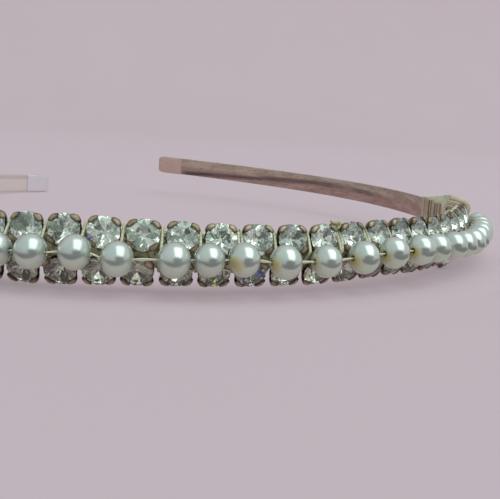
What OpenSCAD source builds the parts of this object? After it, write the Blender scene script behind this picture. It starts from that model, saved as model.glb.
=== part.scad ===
// Bridal headband: a narrow metal band, two rows of claw-set stones side by side on its front,
// and a string of pearls lying in the groove between the rows.
// It lies on its edge. The front faces -Y, the two arms reach back along +Y, and +Z is up.
// Sizes are in millimetres. "Along" is the distance along the strip from the middle of the front,
// positive to the right; "out" is the distance outward from the middle of its thickness; "up" is height.

/* [Band] */
// Width of the metal strip
band_width = 5.1; // [4.6:0.1:5.6]
// Thickness of the metal strip
band_thickness = 0.9; // [0.7:0.05:0.95]
// Length folded back on the inside of each tip
hem_length = 7; // [4:0.5:12]
// Rise of the right tip above the front of the strip
right_rise = 4.0; // [0:0.2:6]
// Fall of the left tip below the front of the strip
left_fall = 3.4; // [0:0.2:3.4]
// Radius of the front arc, which carries the rows
front_radius = 65; // [60:1:75]

/* [Stone rows] */
// Number of settings in each row
settings = 25; // [21:2:25]
// Spacing of the settings along the strip
setting_pitch = 5.285; // [5.25:0.005:5.3]
// Place of the first setting of the upper row along the strip
first_setting = -64.6; // [-64.6:0.1:-60]
// How far the lower row lags behind the upper one
row_lag = 0.65; // [0:0.05:0.8]
// Upward tilt of the upper row
upper_tilt = 16; // [12:1:20]
// Downward tilt of the lower row
lower_tilt = 26; // [22:1:30]

/* [Stones] */
// Diameter of a stone across its corners
stone_d = 4.7; // [4.4:0.05:4.7]
// Height from a setting's back to the stone's table
stone_top = 3.0; // [2.9:0.05:3.1]
// Diameter of the table across its corners
table_d = 2.5; // [2:0.1:3]

/* [Pearls] */
// Drill hole through each pearl
pearl_bore = 0.9; // [0.7:0.05:1.1]
// Length of a pearl between the flats at its hole, as a share of its diameter
pearl_squash = 0.92; // [0.85:0.01:0.93]
// Distance of the string out from the middle of the strip's thickness
string_out = 6.85; // [6.8:0.05:7.2]
// Thickness of the thread that carries the pearls
thread_d = 0.35; // [0.25:0.05:0.4]

/* [Bindings] */
// Length of each wound binding that ends the decoration
binding_length = 24; // [20:1:28]
// How far a binding bulges outward where it meets the rows
binding_bulge = 4.2; // [3.5:0.1:4.2]

/* [Hidden] */
// Height of the middle of the strip's front above the surface that the headband lies on
stand_height = 6.078;
// Distance back from the middle of the strip's front to the middle of the whole depth
centre_y = 64.84;
// Clearance between the bindings and the strip
fit_gap = 0.12;
// Spacing of the rings that a swept solid is made of
ring_step = 3.4;
// How far the strip's edges are eased, and how deep two parts of one solid run into each other
edge_ease = 0.15;
weld = 0.02;

// Columns: length of the arc, radius of the arc, from the middle of the front to a tip
LENGTH = 0;
RADIUS = 1;
ARCS = [[98, front_radius], [38, 72], [34, 94], [23.1, 140]];
half_length = ARCS[0][LENGTH] + ARCS[1][LENGTH] + ARCS[2][LENGTH] + ARCS[3][LENGTH];

// Columns: place along the strip, lift of the row there
UPPER_SWAY = [[-60, 0], [-32, 0.15], [-26, 0.3], [-20, 0.15], [-8, -0.2], [8, -0.25], [18, 0.1], [26, 0.3],
              [40, 0]];
LOWER_SWAY = [[-60, 0], [-32, -0.6], [-26, -0.35], [-20, -0.1], [-8, 0], [12, 0], [18, 0.3], [24, 0.35],
              [32, 0]];

// One setting of the lower row has slipped off its links: its number, how far it has dropped
// and how far it has turned down
slipped = 21;
slip_drop = 0.9;
slip_tilt = 9;

// Columns: place along the strip, height above the middle of the strip, diameter
ALONG = 0;
HEIGHT = 1;
SIZE = 2;
PEARLS = [
    [-68.8, -0.4, 4.9], [-64.0, -0.3, 5.0], [-59.2, -0.4, 5.0], [-54.4, -0.2, 4.9],
    [-49.6, -0.4, 5.0], [-44.8, -0.3, 5.0], [-40.0, -0.2, 5.0], [-35.3, -0.3, 4.9],
    [-30.7, -0.2, 5.0], [-25.2, 0.1, 5.0], [-20.0, -0.5, 5.0], [-13.0, -0.4, 5.1],
    [-8.6, -0.3, 4.8], [-4.1, -0.2, 5.0], [1.6, -0.6, 5.1], [7.7, -0.6, 4.9],
    [13.9, -0.3, 5.1], [19.7, 0.1, 5.0], [25.8, 0.1, 5.0], [30.4, 0.0, 4.9],
    [36.2, -0.2, 4.9], [41.0, -0.5, 4.8], [46.4, -0.7, 4.9], [51.1, -0.6, 4.9],
    [55.7, -0.5, 4.9], [60.3, -0.4, 4.8], [64.8, -0.3, 4.9], [69.4, -0.3, 4.9]
];

// Where the back of each row stands, out from and above the middle of the strip
upper_out = 1.0;
upper_up = 1.68;
lower_out = 0.92;
lower_up = -2.06;

// Section of a setting: a foot, a flare up to a straight rim, and four claws
cup_foot_r = 1.6;
cup_rim_r = 2.38;
cup_rim_h = 1.9;
cup_flare_h = 1.4;
cup_wall = 0.18;
cup_floor = 0.27;
claw_width = 1.5;
// Outline of a claw: distance from the setting's axis, height above its back
CLAW = [[2.1, 1.0], [2.34, 0.95], [2.68, 1.6], [2.72, 2.2], [2.56, 2.52], [2.02, 2.76], [1.92, 2.62],
        [2.36, 2.38], [2.42, 2.0], [2.12, 1.7]];

// Levels of a stone: heights of its girdle and its culet above the setting's back. Its girdle has twice as
// many corners as its table, whose edges stand out a little at their middles
corners = 16;
edge_out = 0.94;
girdle_h = 2.15;
girdle_t = 0.12;
culet_d = 0.7;
culet_h = 0.42;

// Link between two settings: a tongue of one passes through a slot in the next and ends in a wider head
tongue_width = 0.5;
tongue_t = 0.25;
tongue_h = 0.65;
slot_width = 1.1;
slot_height = 0.55;
slot_inner_r = 1.0;
head_width = 1.4;
head_t = 0.2;
head_end = 0.95;
link_reach = setting_pitch * (front_radius + upper_out + tongue_h) / front_radius - head_end;
link_bend = setting_pitch / front_radius * 90 / PI;
slot_drop = (cup_foot_r + cup_rim_r) / 2 * tan(link_bend);

// Bindings: clearance from the last setting's axis; rise above and below the strip at the rows and at
// the far end; how far the upper half leans outward; bulge at the far end and inside; how quickly the
// winding thins out; roundness of the section
binding_gap = 3;
binding_top_rise = 3.2;
binding_low_rise = 1.75;
binding_end_rise = 0.35;
binding_lean = 1.5;
binding_end_bulge = 0.95;
binding_inner_bulge = 0.9;
binding_taper = 1.1;
binding_squareness = 0.7;
binding_step = 2.5;
right_start = first_setting + (settings - 1) * setting_pitch + binding_gap;
left_start = -first_setting + row_lag + binding_gap;

// Thread: straight through the middle of each pearl, then down from the end pearls to lie on the bindings
thread_half = 1.4;
thread_turn = 2.5;
thread_end = 4.6;
thread_rest = 0.3;

function pearl_name(i) = str("pearl_", i < 9 ? "0" : "", i + 1);

// A spot on the strip's middle line is [x, y, heading], found arc by arc from the front
function spot(s, arc = 0, at = [0, 0, 0]) =
    let (r = ARCS[arc][RADIUS],
         run = arc == len(ARCS) - 1 ? s : min(s, ARCS[arc][LENGTH]),
         h = at[2] + run / r * 180 / PI,
         next = [at[0] + r * (sin(h) - sin(at[2])), at[1] + r * (cos(at[2]) - cos(h)), h])
    s <= run ? next : spot(s - run, arc + 1, next);
function lift(s) = (s > 0 ? right_rise : -left_fall) * pow(s / half_length, 2);
function slope(s) = atan(2 * (s > 0 ? right_rise : -left_fall) * s / pow(half_length, 2));

// A point placed by its distance along the strip, out from it and up
function place(s, out, up) =
    let (here = spot(abs(s)), side = s < 0 ? -1 : 1)
    [side * (here[0] + out * sin(here[2])), here[1] - out * cos(here[2]) - centre_y,
     stand_height + lift(s) + up];

// Stands its children on the strip: their Z points outward, their X runs along it to the right, their Y is up
module on_band(s, out, up) {
    here = spot(abs(s));
    side = s < 0 ? -1 : 1;
    translate(place(s, out, up))
        rotate([0, 0, side * here[2]])
            rotate([90, 0, 0])
                rotate([0, 0, slope(s)])
                    children();
}

// A closed solid through rings of points that all have the same number of points
module loft(rings) {
    n = len(rings[0]);
    last = len(rings) - 1;
    sides = [for (i = [0 : last - 1], j = [0 : n - 1])
        let (a = i * n + j, b = i * n + (j + 1) % n)
        each [[a, b, b + n], [a, b + n, a + n]]];
    start = [for (j = [n - 1 : -1 : 0]) j];
    end = [for (j = [0 : n - 1]) last * n + j];
    polyhedron(points = [for (ring = rings) each ring], faces = concat([start], sides, [end]));
}

// Places from one end to the other in equal steps, always from left to right
function steps(from, to, step) =
    let (n = ceil(abs(to - from) / step))
    [for (i = [0 : n]) min(from, to) + abs(to - from) * i / n];

// Section of the strip, with its corners eased, as [out, up]
function strip_section(w, out_low, out_high, ease) = [
    [out_low + ease, w / 2], [out_low, w / 2 - ease], [out_low, ease - w / 2], [out_low + ease, -w / 2],
    [out_high - ease, -w / 2], [out_high, ease - w / 2], [out_high, w / 2 - ease], [out_high - ease, w / 2]];

module strip(from, to, w, out_low, out_high, ease) {
    loft([for (s = steps(from, to, ring_step))
        [for (q = strip_section(w, out_low, out_high, ease)) place(s, q[0], q[1])]]);
}

// Band: the strip, and at each tip its end folded back on the inside round a small bend
module band() {
    half_t = band_thickness / 2;
    color([0.6, 0.55, 0.52]) {
        strip(-half_length, half_length, band_width, -half_t, half_t, edge_ease);
        for (side = [-1, 1]) {
            strip(side * half_length, side * (half_length - hem_length), band_width,
                  -3 * half_t, -half_t + weld, edge_ease);
            on_band(side * half_length, -half_t, 0)
                rotate([90, 0, 0])
                    cylinder(h = band_width - 2 * edge_ease, r = band_thickness - weld / 2, center = true,
                             $fn = 24);
        }
    }
}

// One setting, its back on Z = 0: a flared cup with four claws bent over the stone and a link to the next.
// The link bends with the strip, which a tilted setting meets partly sideways
module setting(linked, tilt) {
    difference() {
        union() {
            rotate_extrude($fn = 40)
                polygon([[0, 0], [cup_foot_r, 0], [cup_rim_r, cup_flare_h], [cup_rim_r, cup_rim_h],
                         [cup_rim_r - cup_wall, cup_rim_h], [cup_rim_r - cup_wall, cup_flare_h],
                         [cup_foot_r - cup_wall, cup_floor], [0, cup_floor]]);
            for (turn = [45 : 90 : 315])
                rotate([0, 0, turn])
                    rotate([90, 0, 0])
                        linear_extrude(height = claw_width, center = true)
                            polygon(CLAW);
        }
        translate([-cup_rim_r, -slot_width / 2, tongue_h - slot_drop - slot_height / 2])
            cube([cup_rim_r - slot_inner_r, slot_width, slot_height]);
    }
    if (linked)
        translate([0, 0, tongue_h])
            rotate([0, link_bend * cos(tilt), -link_bend * sin(tilt)]) {
                translate([cup_foot_r, -tongue_width / 2, -tongue_t / 2])
                    cube([link_reach - cup_foot_r, tongue_width, tongue_t]);
                translate([link_reach - head_t, -head_width / 2, -tongue_t / 2])
                    cube([head_t, head_width, tongue_t]);
            }
}

// Points round a stone at one level, where every second one may lie nearer the axis
function stone_ring(d, h, between = 1) = [
    for (k = [corners - 1 : -1 : 0])
        let (a = (k + 0.5) * 360 / corners, r = d / 2 * (k % 2 == 0 ? 1 : between))
        [r * cos(a), r * sin(a), h]];

// One stone: an eight-cornered table, a crown of large facets, a thin girdle and a pavilion down to the culet
module stone() {
    loft([stone_ring(culet_d, culet_h, edge_out), stone_ring(stone_d, girdle_h),
          stone_ring(stone_d, girdle_h + girdle_t), stone_ring(table_d, stone_top, edge_out)]);
}

function run_slope(s, sway) = atan((lookup(s + 2, sway) - lookup(s - 2, sway)) / 4);

// Places its children at every setting of a row; $linked says whether it is linked to the next one,
// and $tilt is the turn about the row's direction
module along_upper() {
    for (i = [0 : settings - 1]) {
        s = first_setting + i * setting_pitch;
        $linked = i < settings - 1;
        $tilt = -upper_tilt;
        on_band(s, upper_out, upper_up + lookup(s, UPPER_SWAY))
            rotate([0, 0, run_slope(s, UPPER_SWAY)])
                rotate([$tilt, 0, 0])
                    children();
    }
}

module along_lower() {
    for (i = [0 : settings - 1]) {
        s = first_setting - row_lag + i * setting_pitch;
        loose = i == slipped ? 1 : 0;
        $linked = i < settings - 1 && i != slipped && i != slipped - 1;
        $tilt = lower_tilt + loose * slip_tilt;
        on_band(s, lower_out, lower_up + lookup(s, LOWER_SWAY) - loose * slip_drop)
            rotate([0, 0, run_slope(s, LOWER_SWAY)])
                rotate([$tilt, 0, 0])
                    children();
    }
}

module upper_cups() {
    color([0.55, 0.48, 0.36])
        along_upper()
            setting($linked, $tilt);
}

module upper_stones() {
    color([0.82, 0.88, 0.86])
        along_upper()
            stone();
}

module lower_cups() {
    color([0.5, 0.42, 0.33])
        along_lower()
            setting($linked, $tilt);
}

module lower_stones() {
    color([0.78, 0.84, 0.84])
        along_lower()
            stone();
}

module pearl(i) {
    p = PEARLS[i];
    color([0.9, 0.91, 0.87])
        on_band(p[ALONG], string_out, p[HEIGHT])
            rotate([0, 90, 0])
                rotate_extrude($fn = 48)
                    intersection() {
                        circle(d = p[SIZE], $fn = 48);
                        translate([pearl_bore / 2, -pearl_squash * p[SIZE] / 2])
                            square([p[SIZE], pearl_squash * p[SIZE]]);
                    }
}

// How full a binding is at a place along the strip: 1 where it meets the rows, 0 at its far end
function fullness(s, start) = 1 - pow(max(0, abs(s) - start) / binding_length, binding_taper);
function binding_out(s, start) =
    binding_end_bulge + (binding_bulge - binding_end_bulge) * fullness(s, start);

// A point of a binding's section as [out, up], where a turns from straight outward by way of the top
function winding_spot(s, a, start) =
    let (outer = cos(a) > 0,
         out = (outer ? binding_out(s, start) : binding_inner_bulge) * cos(a),
         lean = outer ? binding_lean * fullness(s, start) * max(0, sin(2 * a)) : 0,
         rise = (sin(a) > 0 ? binding_top_rise : binding_low_rise) - binding_end_rise,
         height = band_width / 2 + binding_end_rise + rise * fullness(s, start))
    [out + lean, height * sign(sin(a)) * pow(abs(sin(a)), binding_squareness)];

// The thread's last points beyond an end pearl, outward from that pearl
function thread_tail(p, side, start) =
    let (s = p[ALONG] + side * thread_end)
    [[p[ALONG] + side * thread_turn, string_out, p[HEIGHT]],
     [s, binding_out(s, start) + thread_rest, p[HEIGHT]]];

module pearl_thread() {
    left = thread_tail(PEARLS[0], -1, left_start);
    middle = [for (p = PEARLS, way = [-1, 1]) [p[ALONG] + way * thread_half, string_out, p[HEIGHT]]];
    right = thread_tail(PEARLS[len(PEARLS) - 1], 1, right_start);
    color([0.88, 0.88, 0.76])
        loft([for (q = concat([left[1], left[0]], middle, right))
            [for (a = [0 : 60 : 300])
                place(q[0], q[1] + thread_d / 2 * cos(a), q[2] + thread_d / 2 * sin(a))]]);
}

// Binding: a close winding round the strip that tapers away from the rows
module binding(side, start) {
    inner = band_thickness / 2 + fit_gap;
    color([0.66, 0.67, 0.52])
        difference() {
            loft([for (s = steps(side * start, side * (start + binding_length), binding_step))
                [for (a = [0 : 30 : 330])
                    let (q = winding_spot(s, a, start))
                    place(s, q[0], q[1])]]);
            strip(side * (start - 1), side * (start + binding_length + 1), band_width + 2 * fit_gap,
                  -inner, inner, edge_ease);
        }
}

module binding_right() {
    binding(1, right_start);
}

module binding_left() {
    binding(-1, left_start);
}

band();
upper_cups();
upper_stones();
lower_cups();
lower_stones();
pearl_thread();
binding_left();
binding_right();
for (i = [0 : len(PEARLS) - 1])
    pearl(i);
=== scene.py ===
"""Looks of the bridal headband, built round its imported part.

Sizes are in millimetres, in the part's own frame: the front faces -Y, the arms reach back along +Y.
"Along" is the distance along the strip from the middle of the front, positive to the right; "out" is
the distance outward from the middle of its thickness; "up" is the height above its middle line.
"""

import math
import random

import bpy
from mathutils import Matrix, Quaternion, Vector


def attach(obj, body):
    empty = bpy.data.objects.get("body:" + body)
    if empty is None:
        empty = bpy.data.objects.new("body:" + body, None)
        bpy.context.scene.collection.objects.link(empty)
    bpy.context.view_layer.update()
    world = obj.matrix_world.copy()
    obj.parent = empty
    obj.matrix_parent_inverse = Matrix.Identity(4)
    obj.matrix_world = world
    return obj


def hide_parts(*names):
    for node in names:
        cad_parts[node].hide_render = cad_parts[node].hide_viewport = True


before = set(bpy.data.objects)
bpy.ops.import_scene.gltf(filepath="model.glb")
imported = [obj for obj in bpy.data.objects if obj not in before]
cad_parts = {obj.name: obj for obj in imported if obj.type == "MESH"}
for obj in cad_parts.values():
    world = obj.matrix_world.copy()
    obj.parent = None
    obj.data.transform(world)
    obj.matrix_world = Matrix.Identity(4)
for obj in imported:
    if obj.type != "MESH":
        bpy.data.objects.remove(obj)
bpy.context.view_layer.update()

MM = 0.001
TAU = 2 * math.pi

# Sizes shared with the part

# Columns: length of the arc, radius of the arc, from the middle of the front to a tip
ARCS = ((98, 65), (38, 72), (34, 94), (23.1, 140))
HALF_LENGTH = sum(length for length, radius in ARCS)
CENTRE_Y = 64.84
STAND_HEIGHT = 6.078
RIGHT_RISE = 4.0
LEFT_FALL = 3.4

BAND_WIDTH = 5.1
BAND_THICKNESS = 0.9
HEM_LENGTH = 7

SETTINGS = 25
SETTING_PITCH = 5.285
FIRST_SETTING = -64.6
ROW_LAG = 0.65
# Columns: place along the strip, lift of the row there
UPPER_SWAY = ((-60, 0), (-32, 0.15), (-26, 0.3), (-20, 0.15), (-8, -0.2), (8, -0.25), (18, 0.1),
              (26, 0.3), (40, 0))
LOWER_SWAY = ((-60, 0), (-32, -0.6), (-26, -0.35), (-20, -0.1), (-8, 0), (12, 0), (18, 0.3),
              (24, 0.35), (32, 0))
UPPER_ROW = {"first": FIRST_SETTING, "out": 1.0, "up": 1.68, "tilt": -16, "sway": UPPER_SWAY,
             "slipped": None}
LOWER_ROW = {"first": FIRST_SETTING - ROW_LAG, "out": 0.92, "up": -2.06, "tilt": 26, "sway": LOWER_SWAY,
             "slipped": 21}
# A setting turns with the slope of the sway from this far before it to as far after it
SWAY_REACH = 2
SLIP_DROP = 0.9
SLIP_TILT = 9

CUP_FOOT_R = 1.6
CUP_RIM_R = 2.38
TONGUE_H = 0.65
STONE_R = 2.35
GIRDLE_H = 2.15
GIRDLE_T = 0.12
TABLE_R = 1.25
TABLE_H = 3.0
CULET_R = 0.33
CULET_H = 0.42

# Columns: place along the strip, height above the middle of the strip, diameter
PEARLS = (
    (-68.8, -0.4, 4.9), (-64.0, -0.3, 5.0), (-59.2, -0.4, 5.0), (-54.4, -0.2, 4.9),
    (-49.6, -0.4, 5.0), (-44.8, -0.3, 5.0), (-40.0, -0.2, 5.0), (-35.3, -0.3, 4.9),
    (-30.7, -0.2, 5.0), (-25.2, 0.1, 5.0), (-20.0, -0.5, 5.0), (-13.0, -0.4, 5.1),
    (-8.6, -0.3, 4.8), (-4.1, -0.2, 5.0), (1.6, -0.6, 5.1), (7.7, -0.6, 4.9),
    (13.9, -0.3, 5.1), (19.7, 0.1, 5.0), (25.8, 0.1, 5.0), (30.4, 0.0, 4.9),
    (36.2, -0.2, 4.9), (41.0, -0.5, 4.8), (46.4, -0.7, 4.9), (51.1, -0.6, 4.9),
    (55.7, -0.5, 4.9), (60.3, -0.4, 4.8), (64.8, -0.3, 4.9), (69.4, -0.3, 4.9),
)
PEARL_BORE = 0.9
PEARL_SQUASH = 0.92
STRING_OUT = 6.85
THREAD_TURN = 2.5
THREAD_END = 4.6
THREAD_REST = 0.3

BINDING_LENGTH = 24
BINDING_BULGE = 4.2
BINDING_GAP = 3
BINDING_TOP_RISE = 3.2
BINDING_LOW_RISE = 1.75
BINDING_END_RISE = 0.35
BINDING_LEAN = 1.5
BINDING_END_BULGE = 0.95
BINDING_TAPER = 1.1
BINDING_SQUARENESS = 0.7
RIGHT_START = FIRST_SETTING + (SETTINGS - 1) * SETTING_PITCH + BINDING_GAP
LEFT_START = -FIRST_SETTING + ROW_LAG + BINDING_GAP


def spot(s):
    """x, y and heading of the strip's middle line at a distance s from the middle of the front."""
    x = y = heading = 0.0
    for length, radius in ARCS:
        run = min(s, length) if (length, radius) != ARCS[-1] else s
        turned = heading + run / radius
        x += radius * (math.sin(turned) - math.sin(heading))
        y += radius * (math.cos(heading) - math.cos(turned))
        heading = turned
        s -= run
        if s <= 0:
            break
    return x, y, heading


def end_rise(s):
    return RIGHT_RISE if s > 0 else -LEFT_FALL


def lift(s):
    return end_rise(s) * (s / HALF_LENGTH) ** 2


def slope(s):
    return math.atan(2 * end_rise(s) * s / HALF_LENGTH ** 2)


def place(s, out, up):
    """A point by its distance along the strip, out from it and up."""
    x, y, heading = spot(abs(s))
    side = -1 if s < 0 else 1
    return Vector((side * (x + out * math.sin(heading)), y - out * math.cos(heading) - CENTRE_Y,
                   STAND_HEIGHT + lift(s) + up))


def turn(degrees, axis):
    return Matrix.Rotation(math.radians(degrees), 4, axis)


def seat(s, out, up):
    """Axes standing on the strip: Z points outward, X runs along it to the right, Y is up."""
    heading = math.copysign(math.degrees(spot(abs(s))[2]), s)
    return (Matrix.Translation(place(s, out, up)) @ turn(heading, "Z") @ turn(90, "X")
            @ turn(math.degrees(slope(s)), "Z"))


def lookup(table, s, column=1):
    """A column of a table whose rows start with a place along the strip, at a place between its rows."""
    if s <= table[0][0]:
        return table[0][column]
    for before, after in zip(table, table[1:]):
        if s <= after[0]:
            share = (s - before[0]) / (after[0] - before[0])
            return before[column] + (after[column] - before[column]) * share
    return table[-1][column]


def setting_seat(row, i):
    """Axes of one setting of a row, with its back on Z = 0."""
    s = row["first"] + i * SETTING_PITCH
    sway = row["sway"]
    slipped = i == row["slipped"]
    up = row["up"] + lookup(sway, s) - (SLIP_DROP if slipped else 0)
    rise = math.atan((lookup(sway, s + SWAY_REACH) - lookup(sway, s - SWAY_REACH)) / (2 * SWAY_REACH))
    tilt = row["tilt"] + (SLIP_TILT if slipped else 0)
    return seat(s, row["out"], up) @ turn(math.degrees(rise), "Z") @ turn(tilt, "X")


def fullness(s, start):
    """How full a binding is at a place along the strip: 1 where it meets the rows, 0 at its far end."""
    return 1 - min(1, max(0, abs(s) - start) / BINDING_LENGTH) ** BINDING_TAPER


def binding_out(s, start):
    return BINDING_END_BULGE + (BINDING_BULGE - BINDING_END_BULGE) * fullness(s, start)


# Gathering meshes

def put_in_scene(name, content):
    """A new object that holds a mesh, a lamp or a camera."""
    thing = bpy.data.objects.new(name, content)
    bpy.context.scene.collection.objects.link(thing)
    return thing


class Shape:
    """A mesh gathered in millimetres, with a number at each point or face for every named mark."""

    def __init__(self):
        self.points = []
        self.faces = []
        self.finishes = []
        self.point_marks = {}
        self.face_marks = {}

    def add(self, points, faces, finish=0, at=None, facets=None, **marks):
        first = len(self.points)
        self.note(self.point_marks, first, len(points), marks)
        self.note(self.face_marks, len(self.faces), len(faces), facets or {})
        self.points += [at @ Vector(p) if at else Vector(p) for p in points]
        self.faces += [[first + corner for corner in face] for face in faces]
        self.finishes += [finish] * len(faces)

    @staticmethod
    def note(store, before, count, marks):
        for name, values in marks.items():
            column = store.setdefault(name, [])
            column += [0.0] * (before - len(column))
            column += list(values) if hasattr(values, "__len__") else [values] * count

    def piece(self, name, replaced, materials, smooth=True, crease=None):
        mesh = bpy.data.meshes.new(name)
        mesh.from_pydata([p * MM for p in self.points], [], self.faces)
        mesh.polygons.foreach_set("material_index", self.finishes)
        mesh.polygons.foreach_set("use_smooth", [smooth] * len(self.faces))
        for domain, store, count in (("POINT", self.point_marks, len(self.points)),
                                     ("FACE", self.face_marks, len(self.faces))):
            for label, column in store.items():
                column += [0.0] * (count - len(column))
                mesh.attributes.new(label, "FLOAT", domain).data.foreach_set("value", column)
        for material in materials:
            mesh.materials.append(material)
        if crease:
            mesh.set_sharp_from_angle(angle=math.radians(crease))
        thing = put_in_scene(name, mesh)
        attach(thing, "root")
        if replaced:
            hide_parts(*replaced)


def skin(rings, around, joined=False):
    """Faces over rings of points that turn counterclockwise about the way they go. The last ring is either
    joined to the first one, or both ends are closed."""
    faces = [(k * around + j, k * around + (j + 1) % around,
              (k + 1) % rings * around + (j + 1) % around, (k + 1) % rings * around + j)
             for k in range(rings if joined else rings - 1) for j in range(around)]
    if not joined:
        faces += [range(around - 1, -1, -1), range((rings - 1) * around, rings * around)]
    return faces


def round_angles(count):
    return [TAU * k / count for k in range(count)]


def polar(radius, a):
    return radius * math.cos(a), radius * math.sin(a)


def smoothed(path, parts, closed=False):
    """More points on a smooth curve through a path."""
    path = [Vector(p) for p in path]
    count = len(path)
    curve = []
    for k in range(count if closed else count - 1):
        if closed:
            a, b, c, d = (path[(k + shift) % count] for shift in (-1, 0, 1, 2))
        else:
            a, b, c, d = (path[min(max(k + shift, 0), count - 1)] for shift in (-1, 0, 1, 2))
        for part in range(parts):
            t = part / parts
            curve.append(((b * 2) + (c - a) * t + (a * 2 - b * 5 + c * 4 - d) * t * t
                          + (b * 3 - a - c * 3 + d) * t ** 3) / 2)
    return curve if closed else curve + [path[-1]]


def tube(shape, path, radius, sides=8, closed=False, **marks):
    """A round thread along a path, marked with the length run so far."""
    count = len(path)
    points, runs = [], []
    across = None
    run = 0
    for k, here in enumerate(path):
        ahead = path[(k + 1) % count] if closed else path[min(k + 1, count - 1)]
        behind = path[k - 1] if closed or k else path[0]
        way = (ahead - behind).normalized()
        across = way.orthogonal() if across is None else across
        across = (across - across.dot(way) * way).normalized()
        other = way.cross(across)
        for a in round_angles(sides):
            points.append(here + (across * math.cos(a) + other * math.sin(a)) * radius)
        run += (ahead - here).length
        runs += [run] * sides
    shape.add(points, skin(count, sides, closed), run=runs, **marks)


def eased(a, power):
    return math.copysign(abs(a) ** power, a)


# Shader helpers

def put(tree, kind, inputs=None, **settings):
    """Adds a node, with its settings, and joins or sets its inputs."""
    node = tree.nodes.new("ShaderNode" + kind)
    for key, value in settings.items():
        setattr(node, key, value)
    for key, value in (inputs or {}).items():
        if isinstance(value, bpy.types.NodeSocket):
            tree.links.new(value, node.inputs[key])
        else:
            node.inputs[key].default_value = value
    return node


def number(tree, operation, *values):
    return put(tree, "Math", dict(enumerate(values)), operation=operation).outputs[0]


def times(tree, first, second):
    return number(tree, "MULTIPLY", first, second)


def mixed(tree, share, first, second):
    return put(tree, "Mix", {0: share, 6: first, 7: second}, data_type="RGBA").outputs[2]


def between(tree, value, low, high, bottom=0.0, top=1.0):
    """A smooth step from bottom to top as the value goes from low to high."""
    node = put(tree, "MapRange", {"Value": value, "From Min": low, "From Max": high, "To Min": bottom,
                                  "To Max": top}, interpolation_type="SMOOTHSTEP")
    return node.outputs[0]


def mark(tree, name):
    return put(tree, "Attribute", attribute_name=name).outputs["Fac"]


def cloud(tree, position, scale, detail=3.0):
    """Soft noise. The scale is how many patches go to a millimetre."""
    return put(tree, "TexNoise", {"Vector": position, "Scale": scale, "Detail": detail}).outputs[0]


def millimetres(tree):
    position = put(tree, "TexCoord").outputs["Object"]
    return put(tree, "VectorMath", {0: position, "Scale": 1 / MM}, operation="SCALE").outputs[0]


def stretched(tree, position, x, y, z):
    return put(tree, "Mapping", {"Vector": position, "Scale": (x, y, z)}).outputs[0]


def tone(red, green, blue):
    """A screen colour, each part from 0 to 255, as the shader wants it."""
    parts = [part / 255 for part in (red, green, blue)]
    return [p / 12.92 if p <= 0.04045 else ((p + 0.055) / 1.055) ** 2.4 for p in parts] + [1.0]


def finish(name, plain):
    """A new material with its shader's plain values set."""
    made = bpy.data.materials.new(name)
    made.use_nodes = True
    shader = made.node_tree.nodes["Principled BSDF"]
    for label, value in plain.items():
        shader.inputs[label].default_value = value
    return made, made.node_tree, shader


def join(tree, node, **values):
    """Feeds sockets into a node's inputs, whose labels are written with _ for a space."""
    for label, value in values.items():
        tree.links.new(value, node.inputs[label.replace("_", " ")])


def bumped(tree, height, strength, distance):
    """Normal of a low relief. The distance is in millimetres."""
    return put(tree, "Bump", {"Height": height, "Strength": strength, "Distance": distance * MM}).outputs[0]


def shared_effect(name, inputs, outputs):
    """An empty node group. Inputs and outputs are (label, kind) pairs."""
    tree = bpy.data.node_groups.new(name, "ShaderNodeTree")
    for way, sockets in (("INPUT", inputs), ("OUTPUT", outputs)):
        for label, kind in sockets:
            tree.interface.new_socket(label, in_out=way, socket_type="NodeSocket" + kind)
    return tree, tree.nodes.new("NodeGroupInput").outputs, tree.nodes.new("NodeGroupOutput")


def use_effect(tree, effect, inputs):
    return put(tree, "Group", inputs, node_tree=effect).outputs


def tarnish_effect():
    """Old plated metal: clouds of tarnish, dark specks, and bright metal where it is rubbed."""
    tree, given, result = shared_effect(
        "tarnish",
        (("Position", "Vector"), ("Patches", "Float"), ("Bright", "Color"), ("Dull", "Color"),
         ("Dark", "Color"), ("Rubbed", "Float")),
        (("Color", "Color"), ("Roughness", "Float"), ("Height", "Float")))
    patches = cloud(tree, given["Position"], given["Patches"], 4)
    specks = cloud(tree, given["Position"], times(tree, given["Patches"], 4.3))
    colour = mixed(tree, between(tree, patches, 0.36, 0.62), given["Bright"], given["Dull"])
    colour = mixed(tree, between(tree, specks, 0.54, 0.74), colour, given["Dark"])
    colour = mixed(tree, given["Rubbed"], colour, given["Bright"])
    rough = number(tree, "MULTIPLY_ADD", patches, 0.34, 0.26)
    join(tree, result, Color=colour,
         Roughness=number(tree, "MULTIPLY_ADD", given["Rubbed"], -0.1, rough),
         Height=number(tree, "MULTIPLY_ADD", specks, 0.4, patches))
    return tree


def fibre_effect():
    """Soft thread: fine fibres along the run and a slow change of colour."""
    tree, given, result = shared_effect(
        "thread fibre",
        (("Position", "Vector"), ("Run", "Float"), ("Light", "Color"), ("Shade", "Color"),
         ("Aged", "Float"), ("Old", "Color")),
        (("Color", "Color"), ("Height", "Float")))
    plies = number(tree, "SINE", times(tree, given["Run"], 11.0))
    fuzz = cloud(tree, given["Position"], 7.0, 4)
    slow = cloud(tree, given["Position"], 0.8)
    share = number(tree, "MULTIPLY_ADD", plies, 0.14, fuzz)
    colour = mixed(tree, between(tree, share, 0.3, 0.75), given["Shade"], given["Light"])
    aged = times(tree, given["Aged"], between(tree, slow, 0.2, 0.6, 0.6, 1.0))
    join(tree, result, Color=mixed(tree, aged, colour, given["Old"]),
         Height=number(tree, "MULTIPLY_ADD", plies, 0.5, fuzz))
    return tree


TARNISH = tarnish_effect()
FIBRE = fibre_effect()


# Finishes

# The painted light and the dirt on the strip's front fade out between these distances from the middle of the
# front
FRONT_LIGHT_AND_DIRT_ENDS = (60, 67)


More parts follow.
